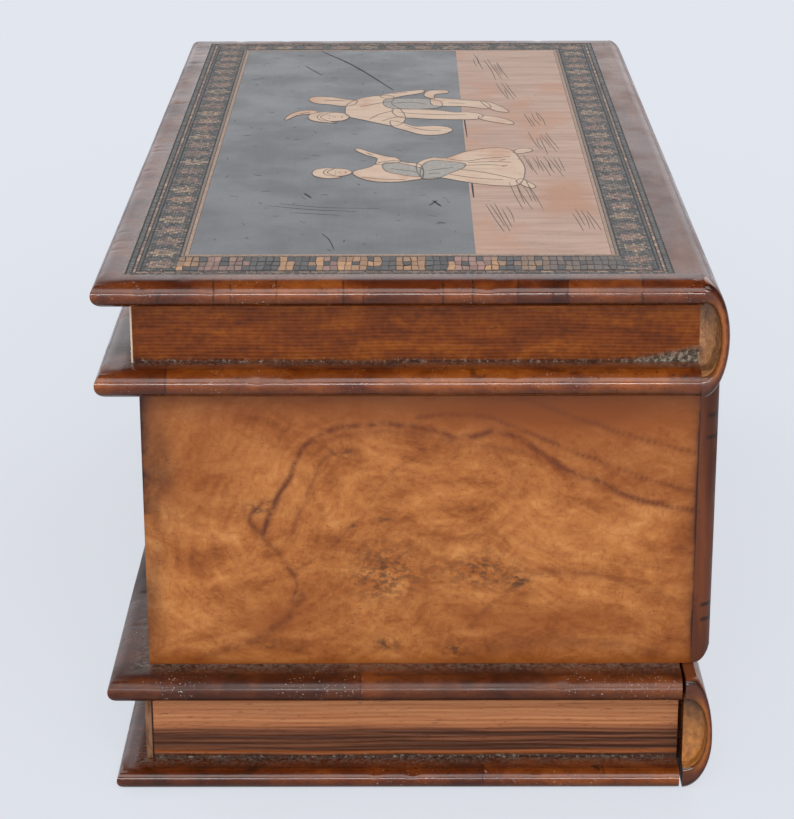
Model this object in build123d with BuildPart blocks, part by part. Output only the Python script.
from build123d import *
import os

os.makedirs("parts", exist_ok=True)

# A puzzle box shaped like a stack of books: a flat book as base with a secret drawer,
# a row of upright volumes round the carcass, and a flat book as hinged lid.
# Millimetres, X along the books, the spines face -Y, Z is up, and the origin is the
# middle of the underside.

# Overall sizes
length = 300.0
back_y = 75.0
joint_y = -68.6
base_front_y = -66.8
base_bottom_back_y = 73.6

# Heights of the layers, from the table up
base_bottom_t = 5.2
base_pages_h = 18.2
base_top_t = 7.0
carcass_h = 72.6
lid_lower_t = 7.0
lid_pages_h = 15.4
lid_top_t = 6.6
inlay_t = 1.2

base_pages_z = base_bottom_t
base_top_z = base_pages_z + base_pages_h
carcass_z = base_top_z + base_top_t
rim_z = carcass_z + carcass_h
lid_pages_z = rim_z + lid_lower_t
lid_top_z = lid_pages_z + lid_pages_h
box_top_z = lid_top_z + lid_top_t

# Covers and page blocks
moulding_w = 9.5
lid_moulding_w = 7.5
page_inset_x = 8.0
page_inset_y = 8.3
page_wall = 9.0
page_lap = 1.8

# Carcass
carcass_inset_x = 9.8
carcass_inset_y = 9.7
veneer_t = 1.5
wall_t = 8.0
floor_t = 4.0
lining_t = 0.8

# Upright volumes on the front
volume_count = 9
volume_depth = 5.8
volume_flank = 1.7
volume_foot_radius = 3.4
volume_foot_gap = 0.1
volume_top_gap = 0.2
volume_z = carcass_z + volume_foot_gap
volume_top_z = rim_z - volume_top_gap
volume_seam = 0.16
sliding_play = 0.3
sliding_volume_index = 5
sliding_foot_gap = 1.5
sliding_volume_z = carcass_z + sliding_foot_gap
volume_drop = 17.0

# Dovetailed runner behind the sliding volume
groove_mouth_w = 10.0
groove_root_w = 14.0
groove_depth = 4.0
groove_flank_play = 0.45
runner_h = 32.1
runner_end_gap = 0.5
runner_z = carcass_z + volume_drop + runner_end_gap
groove_top_z = runner_z + runner_h + runner_end_gap

# Lid spine
spine_depth = 6.4
spine_half_height = 14.3
spine_foot_gap = 0.1
spine_z = rim_z + spine_half_height + spine_foot_gap
spine_hollow_rim = 2.5
spine_hollow_depth = 8.0

# Secret drawer, whose front is the base book's spine
drawer_play_x = 0.5
drawer_play_z = 0.4
drawer_headroom = 1.0
drawer_gap = 0.8
drawer_belly = 7.1
drawer_belly_z = 13.5
drawer_front_foot = 0.6
drawer_front_top = 30.2
drawer_brow_radius = 18.2
drawer_hollow_depth = 3.0
drawer_hollow_y = 5.4
drawer_hollow_half_height = 7.4
drawer_hollow_z = 12.0
drawer_wall = 5.0
drawer_inner_t = 6.0
drawer_depth = 110.0
drawer_bottom_t = 2.5
drawer_bottom_rise = 1.9
drawer_groove = 2.0
drawer_travel = 80.0
stop_w = 40.0
stop_depth = 5.7
stop_h = 4.0

# Box lock with a sliding bolt
lock_case_half_w = 20.3
lock_case_h = 19.0
lock_skin = 0.8
lock_case_setback = 1.8
lock_case_front_y = joint_y + lock_case_setback
lock_plate_half_w = 24.0
lock_plate_h = 22.0
pin_drop = 11.4
pin_z = rim_z - pin_drop
pin_radius = 1.0
keyhole_radius = 2.2
keyhole_slot_w = 1.8
keyhole_slot_drop = 4.6
escutcheon_rim = 1.2
escutcheon_t = 0.9
bolt_t = 2.6
bolt_back_y = -62.4
bolt_bar_drop = 9.0
bolt_bar_z = rim_z - bolt_bar_drop
bolt_bar_h = 2.8
bolt_talon_h = 1.9
bolt_talon_w = 7.0
bolt_finger_h = 2.0
bolt_finger_t = 1.4
bolt_finger_length = 4.8
bolt_post_w = 2.6
bolt_gap = 0.6
loop_xs = (-9.0, 13.0)
loop_t = 2.0
loop_w = 3.4
loop_y = -63.7
loop_drop = 5.8
loop_rim = 0.8
loop_slot_front_play = 0.55
link_plate_half_w = 22.0
link_plate_t = 1.2
link_plate_w = 5.2

# Hinges at the back
hinge_xs = (-85.0, 85.0)
hinge_w = 36.0
hinge_axis_y = 67.4
hinge_leaf_t = 1.2
hinge_leaf_front_y = 57.2
knuckle_radius = 1.8
knuckle_count = 5
knuckle_gap = 0.3
hinge_pin_radius = 0.8
pin_clearance = 0.1
knuckle_notch_play = 0.4

# Key and its cradle in the drawer
key_x = 70.0
key_y = -35.0
key_barrel_radius = 1.7
key_barrel_length = 24.0
key_bore_radius = 1.05
key_bore_depth = 8.0
key_bit_reach = 4.2
key_bit_length = 5.0
key_bit_t = 1.3
key_bow_radius = 6.0
key_bow_hole_radius = 3.6
key_bow_t = 2.0
key_collar_radius = 2.3
key_collar_length = 1.4
key_step = 1.0
cradle_strip_t = 1.2
cradle_saddle_t = 3.0
cradle_w = 8.0
cradle_spacing = 10.0
cradle_offset = -2.0

# Inlaid top of the lid
field_left = -125.0
field_right = 129.5
field_back = 53.7
field_front = -48.6
field_split = -15.8
banding_front = -62.2

half_length = length / 2
page_x = half_length - page_inset_x
page_y = back_y - page_inset_y
carcass_x = half_length - carcass_inset_x
carcass_y = back_y - carcass_inset_y
wall_x = carcass_x - veneer_t
wall_y = carcass_y - veneer_t
inner_x = wall_x - wall_t
inner_back_y = wall_y - wall_t
inner_front_y = joint_y + wall_t


def save(label, piece):
    """Name a finished piece and write it as its own file."""
    piece.part.label = label
    export_step(piece.part, f"parts/{label}.step")


def slab(x_range, y_range, z_range, mode=Mode.ADD):
    """A rectangular block between two limits on each axis, for the open part block."""
    with BuildSketch(Plane.XY.offset(z_range[0])) as outline:
        with Locations(((x_range[0] + x_range[1]) / 2, (y_range[0] + y_range[1]) / 2)):
            Rectangle(x_range[1] - x_range[0], y_range[1] - y_range[0])
    extrude(outline.sketch, amount=z_range[1] - z_range[0], mode=mode)


def board(label, x_range, y_range, z_range):
    """A plain board, saved under its name."""
    with BuildPart() as piece:
        slab(x_range, y_range, z_range)
    save(label, piece)


def half_round_moulding(z_low, thickness, width, y_front, y_back):
    """Half-round lipping round the left, back and right edges of a cover, mitred at the back."""
    nose = thickness / 2
    x_inner = half_length - width
    y_inner = y_back - width
    with BuildLine(Plane.XY.offset(z_low)) as edge:
        Polyline((x_inner, y_front), (x_inner, y_inner), (-x_inner, y_inner), (-x_inner, y_front))
    with BuildSketch(Plane.XZ.offset(-y_front)) as section:
        with BuildLine():
            Polyline(
                (half_length - nose, z_low),
                (x_inner, z_low),
                (x_inner, z_low + thickness),
                (half_length - nose, z_low + thickness),
            )
            ThreePointArc(
                (half_length - nose, z_low + thickness),
                (half_length, z_low + nose),
                (half_length - nose, z_low),
            )
        make_face()
    sweep(section.sketch, path=edge.wires()[0], transition=Transition.RIGHT)


def page_block(prefix, z_range, y_front):
    """Left, right and back walls of a closed book's pages, the back one lapped over the ends."""
    for side, sign in (("left", -1), ("right", 1)):
        x_limits = sorted((sign * (page_x - page_wall), sign * page_x))
        board(f"{prefix}_pages_{side}", x_limits, (y_front, page_y - page_lap), z_range)
    with BuildPart() as back_pages:
        slab((-page_x, page_x), (page_y - page_lap, page_y), z_range)
        inner = page_x - page_wall
        slab((-inner, inner), (page_y - page_wall, page_y - page_lap), z_range)
    save(f"{prefix}_pages_back", back_pages)


def keyhole_outline(rim):
    """Round hole with a slot below it, grown all round by the rim, on an X-Z sketch."""
    with Locations((0, pin_z)):
        Circle(keyhole_radius + rim)
    slot_h = keyhole_slot_drop + rim
    with Locations((0, pin_z - slot_h / 2)):
        Rectangle(keyhole_slot_w + 2 * rim, slot_h)


def keyhole(y_range):
    """Cut the keyhole through whatever lies between two Y limits."""
    with BuildSketch(Plane.XZ.offset(-y_range[0])) as outline:
        keyhole_outline(0)
    extrude(outline.sketch, amount=-(y_range[1] - y_range[0]), mode=Mode.SUBTRACT)


def rod(x_range, y, z, radius, mode=Mode.ADD):
    """A round rod along X."""
    with BuildSketch(Plane.YZ.offset(x_range[0])) as outline:
        with Locations((y, z)):
            Circle(radius)
    extrude(outline.sketch, amount=x_range[1] - x_range[0], mode=mode)


# Base book
with BuildPart() as base_bottom_board:
    slab(
        (-(half_length - moulding_w), half_length - moulding_w),
        (base_front_y, base_bottom_back_y - moulding_w),
        (0, base_bottom_t),
    )
save("base_bottom_board", base_bottom_board)

with BuildPart() as base_bottom_moulding:
    half_round_moulding(0, base_bottom_t, moulding_w, base_front_y, base_bottom_back_y)
save("base_bottom_moulding", base_bottom_moulding)

page_block("base", (base_pages_z, base_top_z), base_front_y)

board(
    "base_top_board",
    (-(half_length - moulding_w), half_length - moulding_w),
    (base_front_y, back_y - moulding_w),
    (base_top_z, carcass_z),
)

with BuildPart() as base_top_moulding:
    half_round_moulding(base_top_z, base_top_t, moulding_w, base_front_y, back_y)
save("base_top_moulding", base_top_moulding)

# Carcass with its veneers and linings
for side, sign in (("left", -1), ("right", 1)):
    board(
        f"carcass_{side}",
        sorted((sign * inner_x, sign * wall_x)),
        (joint_y, wall_y),
        (carcass_z, rim_z),
    )
    board(
        f"veneer_{side}",
        sorted((sign * wall_x, sign * carcass_x)),
        (joint_y, carcass_y),
        (carcass_z, rim_z),
    )


def hinge_leaf_recess(z_range):
    """Cut the seats of both hinge leaves between two heights."""
    for x in hinge_xs:
        slab(
            (x - hinge_w / 2, x + hinge_w / 2),
            (hinge_leaf_front_y, back_y),
            z_range,
            mode=Mode.SUBTRACT,
        )


with BuildPart() as carcass_back:
    slab((-inner_x, inner_x), (inner_back_y, wall_y), (carcass_z, rim_z))
    hinge_leaf_recess((rim_z - hinge_leaf_t, rim_z))
save("carcass_back", carcass_back)

with BuildPart() as veneer_back:
    slab((-wall_x, wall_x), (wall_y, carcass_y), (carcass_z, rim_z))
    hinge_leaf_recess((rim_z - hinge_leaf_t, rim_z))
save("veneer_back", veneer_back)

with BuildPart() as carcass_front:
    slab((-inner_x, inner_x), (joint_y, inner_front_y), (carcass_z, rim_z))
    with BuildSketch(Plane.XY.offset(carcass_z)):
        with BuildLine():
            Polyline(
                (-groove_mouth_w / 2, joint_y),
                (-groove_root_w / 2, joint_y + groove_depth),
                (groove_root_w / 2, joint_y + groove_depth),
                (groove_mouth_w / 2, joint_y),
                close=True,
            )
        make_face()
    extrude(amount=groove_top_z - carcass_z, mode=Mode.SUBTRACT)
    slab(
        (-lock_case_half_w, lock_case_half_w),
        (lock_case_front_y, inner_front_y),
        (rim_z - lock_case_h, rim_z),
        mode=Mode.SUBTRACT,
    )
    slab(
        (-lock_plate_half_w, lock_plate_half_w),
        (inner_front_y - lock_skin, inner_front_y),
        (rim_z - lock_plate_h, rim_z),
        mode=Mode.SUBTRACT,
    )
    keyhole((joint_y, lock_case_front_y))
    with BuildSketch(Plane.XZ.offset(-joint_y)):
        keyhole_outline(escutcheon_rim)
    extrude(amount=-escutcheon_t, mode=Mode.SUBTRACT)
save("carcass_front", carcass_front)

board("carcass_floor", (-inner_x, inner_x), (inner_front_y, inner_back_y), (carcass_z, carcass_z + floor_t))
board(
    "floor_lining",
    (-inner_x, inner_x),
    (inner_front_y, inner_back_y),
    (carcass_z + floor_t, carcass_z + floor_t + lining_t),
)

# Row of upright volumes, whose middle one slides
volume_pitch = 2 * carcass_x / volume_count


def book_spine(x, width, y_back, z_range):
    """One volume's rounded spine, with flat flanks and a rounded foot."""
    half_w = width / 2
    with BuildSketch(Plane.XY.offset(z_range[0])) as plan:
        with BuildLine():
            Polyline(
                (x - half_w, y_back - volume_flank),
                (x - half_w, y_back),
                (x + half_w, y_back),
                (x + half_w, y_back - volume_flank),
            )
            ThreePointArc(
                (x - half_w, y_back - volume_flank),
                (x, y_back - volume_depth),
                (x + half_w, y_back - volume_flank),
            )
        make_face()
    extrude(plan.sketch, amount=z_range[1] - z_range[0])
    with BuildSketch(Plane.YZ.offset(x - half_w)) as side_view:
        y_front = y_back - volume_depth
        with BuildLine():
            Polyline(
                (y_front, z_range[0] + volume_foot_radius),
                (y_front, z_range[1]),
                (y_back, z_range[1]),
                (y_back, z_range[0]),
                (y_front + volume_foot_radius, z_range[0]),
            )
            TangentArc(
                (y_front + volume_foot_radius, z_range[0]),
                (y_front, z_range[0] + volume_foot_radius),
                tangent=(-1, 0),
            )
        make_face()
    extrude(side_view.sketch, amount=width, mode=Mode.INTERSECT)


for index in range(1, volume_count + 1):
    volume_x = (index - (volume_count + 1) / 2) * volume_pitch
    if index == sliding_volume_index:
        continue
    with BuildPart() as volume:
        book_spine(volume_x, volume_pitch - volume_seam, joint_y, (volume_z, volume_top_z))
    save(f"volume_{index}", volume)

sliding_back_y = joint_y - sliding_play / 2
with BuildPart() as sliding_volume:
    book_spine(0, volume_pitch - 2 * sliding_play, sliding_back_y, (sliding_volume_z, volume_top_z))
save("sliding_volume", sliding_volume)

with BuildPart() as volume_runner:
    with BuildSketch(Plane.XY.offset(runner_z)):
        with BuildLine():
            Polyline(
                (-groove_mouth_w / 2 + sliding_play, sliding_back_y),
                (-groove_root_w / 2 + groove_flank_play, joint_y + groove_depth - sliding_play),
                (groove_root_w / 2 - groove_flank_play, joint_y + groove_depth - sliding_play),
                (groove_mouth_w / 2 - sliding_play, sliding_back_y),
                close=True,
            )
        make_face()
    extrude(amount=runner_h)
save("volume_runner", volume_runner)

# Box lock in the carcass front
with BuildPart() as keyhole_escutcheon:
    with BuildSketch(Plane.XZ.offset(-joint_y)):
        keyhole_outline(escutcheon_rim)
    extrude(amount=-escutcheon_t)
    keyhole((joint_y, joint_y + escutcheon_t))
save("keyhole_escutcheon", keyhole_escutcheon)

lock_back_y = inner_front_y - lock_skin
with BuildPart() as lock_case:
    slab(
        (-lock_case_half_w, lock_case_half_w),
        (lock_case_front_y, lock_back_y),
        (rim_z - lock_case_h, rim_z),
    )
    slab(
        (-lock_case_half_w + lock_skin, lock_case_half_w - lock_skin),
        (lock_case_front_y + lock_skin, lock_back_y),
        (rim_z - lock_case_h + lock_skin, rim_z - lock_skin),
        mode=Mode.SUBTRACT,
    )
    for loop_x in loop_xs:
        slab(
            (loop_x - loop_t, loop_x + loop_t),
            (loop_y - loop_w / 2 - loop_slot_front_play, loop_y + loop_w / 2 + loop_rim / 2),
            (rim_z - lock_skin, rim_z),
            mode=Mode.SUBTRACT,
        )
    keyhole((lock_case_front_y, lock_case_front_y + lock_skin))
save("lock_case", lock_case)

with BuildPart() as lock_plate:
    slab(
        (-lock_plate_half_w, lock_plate_half_w),
        (lock_back_y, inner_front_y),
        (rim_z - lock_plate_h, rim_z),
    )
    with BuildSketch(Plane.XZ.offset(-lock_back_y)):
        with Locations((0, pin_z)):
            Circle(pin_radius)
    extrude(amount=lock_back_y - lock_case_front_y)
save("lock_plate", lock_plate)

loop_hole_z = rim_z - loop_drop + loop_rim
bolt_finger_z = loop_hole_z + (loop_drop - 2 * loop_rim - link_plate_t - bolt_finger_h) / 2
with BuildPart() as lock_bolt:
    bolt_y = (bolt_back_y - bolt_t, bolt_back_y)
    finger_y = (loop_y - bolt_finger_t / 2, loop_y + bolt_finger_t / 2)
    finger_ends = [x - loop_t / 2 - bolt_gap for x in loop_xs]
    post_starts = [x - bolt_finger_length - bolt_post_w for x in finger_ends]
    slab(
        (post_starts[0], post_starts[-1] + bolt_post_w),
        bolt_y,
        (bolt_bar_z, bolt_bar_z + bolt_bar_h),
    )
    for post_x, finger_end in zip(post_starts, finger_ends):
        slab(
            (post_x, post_x + bolt_post_w),
            bolt_y,
            (bolt_bar_z + bolt_bar_h, bolt_finger_z + bolt_finger_h),
        )
        slab(
            (post_x + bolt_post_w, finger_end),
            finger_y,
            (bolt_finger_z, bolt_finger_z + bolt_finger_h),
        )
    slab(
        (-bolt_talon_w / 2, bolt_talon_w / 2),
        bolt_y,
        (bolt_bar_z, bolt_bar_z + bolt_talon_h),
        mode=Mode.SUBTRACT,
    )
save("lock_bolt", lock_bolt)

# Secret drawer
drawer_back_of_front = base_front_y - drawer_gap
drawer_half_w = page_x - page_wall - drawer_play_x
drawer_z = base_pages_z + drawer_play_z
drawer_top_z = base_top_z - drawer_headroom
with BuildPart() as drawer_front:
    with BuildSketch(Plane.YZ.offset(-half_length)):
        with BuildLine():
            EllipticalCenterArc(
                (drawer_back_of_front, drawer_belly_z),
                drawer_belly,
                drawer_brow_radius,
                start_angle=90,
                arc_size=90,
            )
            EllipticalCenterArc(
                (drawer_back_of_front, drawer_belly_z),
                drawer_belly,
                drawer_belly_z - drawer_front_foot,
                start_angle=180,
                arc_size=90,
            )
            Line(
                (drawer_back_of_front, drawer_belly_z + drawer_brow_radius),
                (drawer_back_of_front, drawer_front_foot),
            )
        make_face()
    extrude(amount=length)
    slab(
        (-half_length, half_length),
        (-back_y, drawer_back_of_front),
        (drawer_front_top, rim_z),
        mode=Mode.SUBTRACT,
    )
    for end_x, depth in ((-half_length, drawer_hollow_depth), (half_length, -drawer_hollow_depth)):
        with BuildSketch(Plane.YZ.offset(end_x)):
            with Locations((drawer_back_of_front, drawer_hollow_z)):
                Ellipse(drawer_hollow_y, drawer_hollow_half_height)
        extrude(amount=depth, mode=Mode.SUBTRACT)
save("drawer_front", drawer_front)

drawer_end_y = drawer_back_of_front + drawer_depth
drawer_side_y = (drawer_back_of_front + drawer_inner_t, drawer_end_y)
drawer_inner_x = drawer_half_w - drawer_wall
drawer_bottom_z = drawer_z + drawer_bottom_rise
tray_floor_z = drawer_bottom_z + drawer_bottom_t
drawer_bottom_x = (-(drawer_inner_x + drawer_groove), drawer_inner_x + drawer_groove)
drawer_bottom_y = (drawer_side_y[0] - drawer_groove, drawer_end_y - drawer_wall)
drawer_panel = (drawer_bottom_x, drawer_bottom_y, (drawer_bottom_z, tray_floor_z))

with BuildPart() as drawer_inner_front:
    slab(
        (-drawer_half_w, drawer_half_w),
        (drawer_back_of_front, drawer_side_y[0]),
        (drawer_z, drawer_top_z),
    )
    slab(*drawer_panel, mode=Mode.SUBTRACT)
save("drawer_inner_front", drawer_inner_front)

for side, sign in (("left", -1), ("right", 1)):
    with BuildPart() as drawer_side:
        slab(
            sorted((sign * drawer_inner_x, sign * drawer_half_w)),
            drawer_side_y,
            (drawer_z, drawer_top_z),
        )
        slab(*drawer_panel, mode=Mode.SUBTRACT)
    save(f"drawer_side_{side}", drawer_side)

board(
    "drawer_back",
    (-drawer_inner_x, drawer_inner_x),
    (drawer_end_y - drawer_wall, drawer_end_y),
    (drawer_z, drawer_top_z),
)
board("drawer_bottom", *drawer_panel)

stop_y = drawer_end_y - drawer_wall - drawer_travel - sliding_play
board(
    "drawer_stop",
    (-stop_w / 2, stop_w / 2),
    (stop_y - stop_depth, stop_y),
    (base_top_z - stop_h, base_top_z),
)

# Key on its cradle in the drawer
key_z = tray_floor_z + cradle_strip_t + key_barrel_radius
cradle_x = key_x + cradle_offset
saddle_xs = (cradle_x - cradle_spacing / 2, cradle_x + cradle_spacing / 2)
with BuildPart() as key_cradle:
    slab(
        (saddle_xs[0] - cradle_saddle_t, saddle_xs[1] + cradle_saddle_t),
        (key_y - cradle_w / 2, key_y + cradle_w / 2),
        (tray_floor_z, tray_floor_z + cradle_strip_t),
    )
    for saddle_x in saddle_xs:
        slab(
            (saddle_x - cradle_saddle_t / 2, saddle_x + cradle_saddle_t / 2),
            (key_y - cradle_w / 2, key_y + cradle_w / 2),
            (tray_floor_z + cradle_strip_t, key_z),
        )
    rod(
        (key_x - key_barrel_length, key_x + key_barrel_length),
        key_y,
        key_z,
        key_barrel_radius,
        mode=Mode.SUBTRACT,
    )
save("key_cradle", key_cradle)

key_tip_x = key_x + key_barrel_length / 2
key_heel_x = key_x - key_barrel_length / 2
with BuildPart() as key:
    rod((key_heel_x, key_tip_x), key_y, key_z, key_barrel_radius)
    rod((key_heel_x, key_heel_x + key_collar_length), key_y, key_z, key_collar_radius)
    with BuildSketch(Plane.XY.offset(key_z - key_bow_t / 2)):
        with Locations((key_heel_x - key_bow_radius + key_step, key_y)):
            Circle(key_bow_radius)
            Circle(key_bow_hole_radius, mode=Mode.SUBTRACT)
    extrude(amount=key_bow_t)
    slab(
        (key_tip_x - key_bit_length - key_step, key_tip_x - key_step),
        (key_y, key_y + key_bit_reach),
        (key_z - key_bit_t / 2, key_z + key_bit_t / 2),
    )
    rod((key_tip_x - key_bore_depth, key_tip_x), key_y, key_z, key_bore_radius, mode=Mode.SUBTRACT)
save("key", key)

# Lid book
lid_inner_y = (inner_front_y, inner_back_y)
page_block("lid", (lid_pages_z, lid_top_z), joint_y)
board(
    "lid_front_rail",
    (-(page_x - page_wall), page_x - page_wall),
    (joint_y, inner_front_y),
    (lid_pages_z, lid_top_z),
)


def knuckle_notch():
    """Room in the lid for the knuckles that turn about the hinge axis."""
    for x in hinge_xs:
        reach = hinge_w / 2
        radius = knuckle_radius + knuckle_notch_play
        rod((x - reach, x + reach), hinge_axis_y, rim_z, radius, mode=Mode.SUBTRACT)


with BuildPart() as lid_lower_frame:
    slab(
        (-(half_length - moulding_w), half_length - moulding_w),
        (joint_y, back_y - moulding_w),
        (rim_z, lid_pages_z),
    )
    slab((-inner_x, inner_x), lid_inner_y, (rim_z, lid_pages_z), mode=Mode.SUBTRACT)
    hinge_leaf_recess((rim_z, rim_z + hinge_leaf_t))
    knuckle_notch()
    slab(
        (-link_plate_half_w, link_plate_half_w),
        (loop_y - link_plate_w / 2, loop_y + link_plate_w / 2),
        (rim_z, rim_z + link_plate_t),
        mode=Mode.SUBTRACT,
    )
save("lid_lower_frame", lid_lower_frame)

with BuildPart() as lid_lower_moulding:
    half_round_moulding(rim_z, lid_lower_t, moulding_w, joint_y, back_y)
    knuckle_notch()
    for hinge_x in hinge_xs:
        slab(
            (hinge_x - hinge_w / 2, hinge_x + hinge_w / 2),
            (back_y - moulding_w, hinge_axis_y),
            (rim_z, rim_z + hinge_leaf_t),
            mode=Mode.SUBTRACT,
        )
save("lid_lower_moulding", lid_lower_moulding)

lid_edge_x = half_length - lid_moulding_w
lid_edge_y = back_y - lid_moulding_w
inlay_z = (box_top_z - inlay_t, box_top_z)
board("lid_top_board", (-lid_edge_x, lid_edge_x), (joint_y, lid_edge_y), (lid_top_z, inlay_z[0]))

with BuildPart() as lid_top_moulding:
    half_round_moulding(lid_top_z, lid_top_t, lid_moulding_w, joint_y, back_y)
save("lid_top_moulding", lid_top_moulding)

board(
    "lid_lining",
    (-(page_x - page_wall), page_x - page_wall),
    (inner_front_y, page_y - page_wall),
    (lid_top_z - lining_t, lid_top_z),
)

with BuildPart() as lid_spine:
    with BuildSketch(Plane.YZ.offset(-half_length)):
        with BuildLine():
            outline = EllipticalCenterArc(
                (joint_y, spine_z),
                spine_depth,
                spine_half_height,
                start_angle=90,
                arc_size=180,
            )
            Line(outline @ 1, outline @ 0)
        make_face()
    extrude(amount=length)
    for end_x, depth in ((-half_length, spine_hollow_depth), (half_length, -spine_hollow_depth)):
        with BuildSketch(Plane.YZ.offset(end_x)):
            with Locations((joint_y, (lid_pages_z + lid_top_z) / 2)):
                Ellipse(spine_depth - spine_hollow_rim, lid_pages_h / 2)
        extrude(amount=depth, mode=Mode.SUBTRACT)
save("lid_spine", lid_spine)

# Inlay on the lid
board("marquetry_dark_ground", (field_left, field_right), (field_split, field_back), inlay_z)
board("marquetry_light_ground", (field_left, field_right), (field_front, field_split), inlay_z)
board("lid_front_strip", (-lid_edge_x, lid_edge_x), (joint_y, banding_front), inlay_z)

with BuildPart() as lid_banding:
    slab((-lid_edge_x, lid_edge_x), (banding_front, lid_edge_y), inlay_z)
    slab((field_left, field_right), (field_front, field_back), inlay_z, mode=Mode.SUBTRACT)
save("lid_banding", lid_banding)

# Link plate with two loops for the bolt
with BuildPart() as link_plate:
    slab(
        (-link_plate_half_w, link_plate_half_w),
        (loop_y - link_plate_w / 2, loop_y + link_plate_w / 2),
        (rim_z, rim_z + link_plate_t),
    )
    for loop_x in loop_xs:
        slab(
            (loop_x - loop_t / 2, loop_x + loop_t / 2),
            (loop_y - loop_w / 2, loop_y + loop_w / 2),
            (rim_z - loop_drop, rim_z),
        )
        slab(
            (loop_x - loop_t / 2, loop_x + loop_t / 2),
            (loop_y - loop_w / 2 + loop_rim, loop_y + loop_w / 2 - loop_rim),
            (loop_hole_z, rim_z - link_plate_t),
            mode=Mode.SUBTRACT,
        )
save("link_plate", link_plate)

# Butt hinges
knuckle_total = hinge_w - (knuckle_count - 1) * knuckle_gap
knuckle_w = knuckle_total / knuckle_count


def leaf_with_knuckles(z_range, first, bore_radius):
    """Both hinges' leaves on one side, with every second knuckle starting at the given one."""
    for x in hinge_xs:
        start = x - hinge_w / 2
        slab((start, start + hinge_w), (hinge_leaf_front_y, carcass_y - knuckle_gap), z_range)
        for number in range(first, knuckle_count, 2):
            low = start + number * (knuckle_w + knuckle_gap)
            slab((low, low + knuckle_w), (carcass_y - knuckle_gap, hinge_axis_y), z_range)
            rod((low, low + knuckle_w), hinge_axis_y, rim_z, knuckle_radius)
            rod((low, low + knuckle_w), hinge_axis_y, rim_z, bore_radius, mode=Mode.SUBTRACT)


with BuildPart() as hinge_carcass_leaves:
    leaf_with_knuckles((rim_z - hinge_leaf_t, rim_z), 0, hinge_pin_radius)
save("hinge_carcass_leaves", hinge_carcass_leaves)

with BuildPart() as hinge_lid_leaves:
    leaf_with_knuckles((rim_z, rim_z + hinge_leaf_t), 1, hinge_pin_radius + pin_clearance)
save("hinge_lid_leaves", hinge_lid_leaves)

with BuildPart() as hinge_pins:
    for hinge_x in hinge_xs:
        rod((hinge_x - hinge_w / 2, hinge_x + hinge_w / 2), hinge_axis_y, rim_z, hinge_pin_radius)
save("hinge_pins", hinge_pins)
